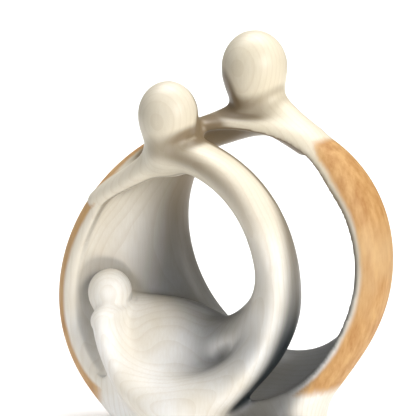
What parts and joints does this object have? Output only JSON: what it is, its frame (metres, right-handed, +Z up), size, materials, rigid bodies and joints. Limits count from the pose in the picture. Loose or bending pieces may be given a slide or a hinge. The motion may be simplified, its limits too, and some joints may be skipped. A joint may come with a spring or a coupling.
{
  "type": "nativity sculpture",
  "caption": "Smooth abstract wooden holy family group: blank-faced parents in an open oval of branch wood, cradling a small child.",
  "frame": {"origin": "on the ground under the middle of the carving's box", "axes": "+Z up, along the longest extent; the front, with the child, faces -Y; +X to the right as seen from the front"},
  "size_m": [0.2094, 0.0874, 0.2445],
  "materials": {
    "carved_wood": "pale close-grained wood, sanded and waxed to a satin, with the orange-brown outside of the branch left on the outer wall"
  },
  "bodies": {
    "root": {"holy_family_carving": "carved_wood"}
  },
  "joints": []
}
